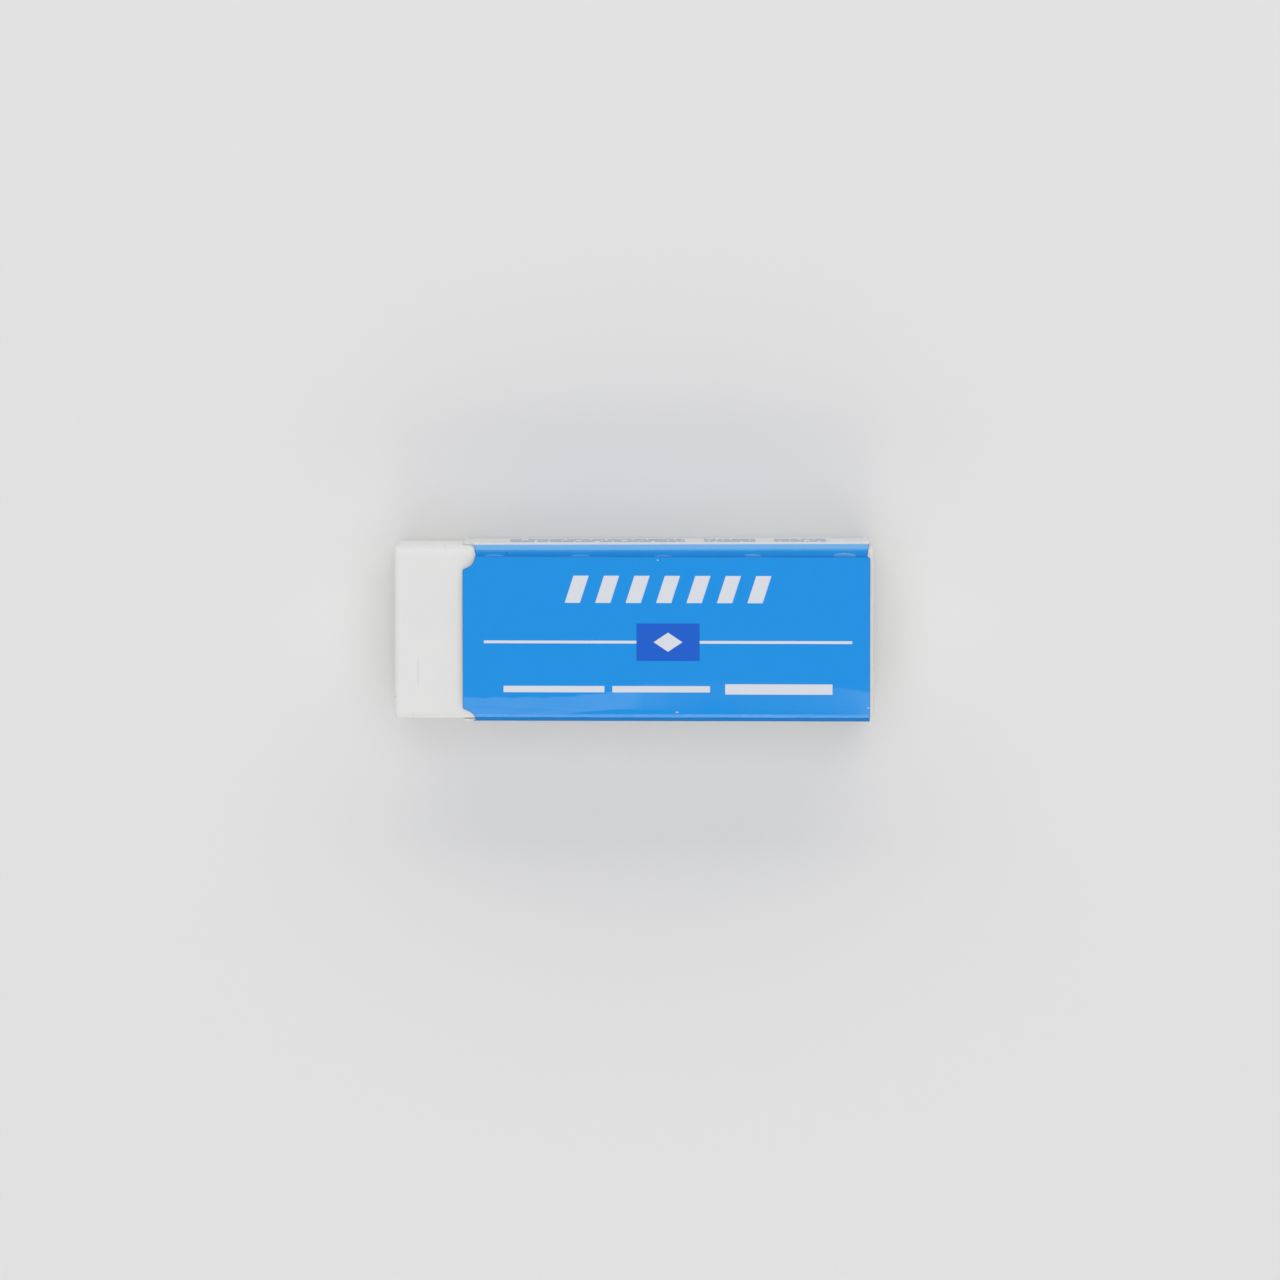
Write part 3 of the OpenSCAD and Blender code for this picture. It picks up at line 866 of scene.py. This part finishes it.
# Stage, light and camera
stage = {
    "floorHalf": 900.0,
    "floorDrop": 0.01,
    "floorColour": (0.80, 0.80, 0.787),
    "walls": (0.30, 0.305, 0.335),  # light from the walls of the tent
    "ring": (1.51, 1.53, 1.655),  # a brighter ring of its roof, round the camera
    "ringHeights": (0.78, 0.86),  # sine of the elevation where the ring begins and where it is full
    "overhead": (0.30, 0.30, 0.32),
    "overheadHeights": (0.950, 0.972),
    "background": (0.76, 0.76, 0.75),
    "lampColour": (1.0, 0.97, 0.865),
    "lampDistance": 800.0,
    "lamps": {  # near side (-1) or far side (1), elevation in degrees, width, height and watts
        "nearWide": (-1, 27.0, 1600.0, 400.0, 2.5),
        "farWide": (1, 23.0, 1600.0, 429.0, 4.4),
        "nearHigh": (-1, 46.0, 160.0, 380.0, 0.31),
        "nearLow": (-1, 25.0, 160.0, 429.0, 0.22),
        "farLow": (1, 28.0, 160.0, 380.0, 0.17),
    },
}


def makeStage():
    side = np.linspace(-stage["floorHalf"], stage["floorHalf"], 3)
    x, y = np.meshgrid(side, side, indexing="ij")
    points = np.stack([x, y, 0 * x - stage["floorDrop"]], axis=-1).reshape(-1, 3)
    material = newMaterial("floorFinish", {
        "Base Color": rgb(*stage["floorColour"]), "Roughness": 0.9, "Specular IOR Level": 0.0,
    })[0]
    floor = buildObject("floor", points, gridQuads(3, 3)[:, ::-1], [material])
    world = bpy.data.worlds.new("studio")
    world.use_nodes = True
    wire = Wire(world.node_tree)
    seen = wire.node("LightPath", {}, {}, "Is Camera Ray")
    upward = wire.node("TexCoord", {}, {}, "Generated").part(2)
    fill = rgb(*stage["walls"])
    for part in ("ring", "overhead"):
        low, high = stage[part + "Heights"]
        fill = ((upward - low) / (high - low)).clamp().colours(fill, rgb(*stage[part]))
    background = world.node_tree.nodes["Background"]
    plug(seen.colours(fill, rgb(*stage["background"])), background.inputs["Color"])
    scene.world = world


def makeLamp(name, side, elevationDegrees, width, height, watts):
    # a softbox on one side, turned to the object
    elevation = math.radians(elevationDegrees)
    lamp = bpy.data.lights.new(name, "AREA")
    lamp.shape = "RECTANGLE"
    lamp.size = width * mm
    lamp.size_y = height * mm
    lamp.energy = watts
    lamp.color = stage["lampColour"]
    obj = bpy.data.objects.new(name, lamp)
    distance = stage["lampDistance"] * mm
    obj.location = (0, side * distance * math.cos(elevation), distance * math.sin(elevation))
    obj.rotation_euler = (-side * (math.pi / 2 - elevation), 0, 0)
    scene.collection.objects.link(obj)


view = {
    "place": (0.75, 45.9, 683.1),
    "tilt": 4.0,
    "focalPixels": 5379.4,
    "imagePixels": 1280,
    "sensor": 36.0,
    "nearest": 10.0,
}


def makeCamera():
    data = bpy.data.cameras.new("photoView")
    data.sensor_width = view["sensor"]
    data.lens = view["focalPixels"] / view["imagePixels"] * view["sensor"]
    data.clip_start = view["nearest"] * mm
    obj = bpy.data.objects.new("photoView", data)
    obj.location = [value * mm for value in view["place"]]
    obj.rotation_euler = (-math.radians(view["tilt"]), 0, 0)
    scene.collection.objects.link(obj)
    scene.camera = obj


makeStage()
for lampName, lampValues in stage["lamps"].items():
    makeLamp(lampName, *lampValues)
makeCamera()
scene.view_settings.view_transform = "Standard"
print("stage, lamps and camera set")
